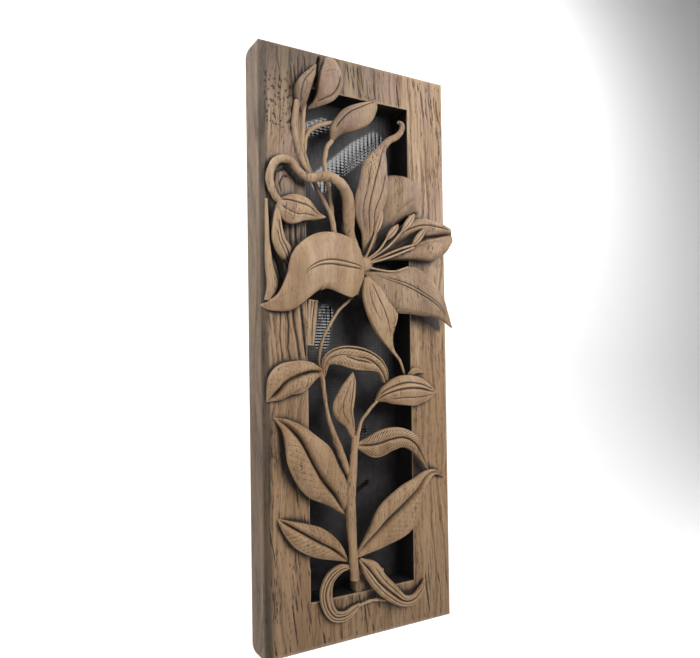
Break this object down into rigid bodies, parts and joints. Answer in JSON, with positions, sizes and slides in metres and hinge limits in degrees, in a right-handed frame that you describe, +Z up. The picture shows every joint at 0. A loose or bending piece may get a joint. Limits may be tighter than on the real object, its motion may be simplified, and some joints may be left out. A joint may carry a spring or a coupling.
{
  "type": "carved wall panel",
  "caption": "Upright carved oak wall panel with an openwork lily, buds and leaves across a window over a glossy black textured ground.",
  "frame": {"origin": "on the oak's flat back, at the middle of the top rail, 20 mm below the top edge, where the panel hangs", "axes": "+Z up, -Y out of the carved face, +Y into the wall, +X to the right as the viewer sees it"},
  "size_m": [0.1873, 0.0552, 0.5],
  "materials": {
    "oak": "solid oak, carved and lightly waxed: pale tan to grey-brown with upright dark grain, dark stain in the cuts and along the front bevel, window walls painted black",
    "black_ground": "glossy black sheet embossed with a fine regular waffle that glints silver"
  },
  "bodies": {
    "root": {"carved_oak_panel": "oak", "backing_panel": "black_ground"}
  },
  "joints": []
}
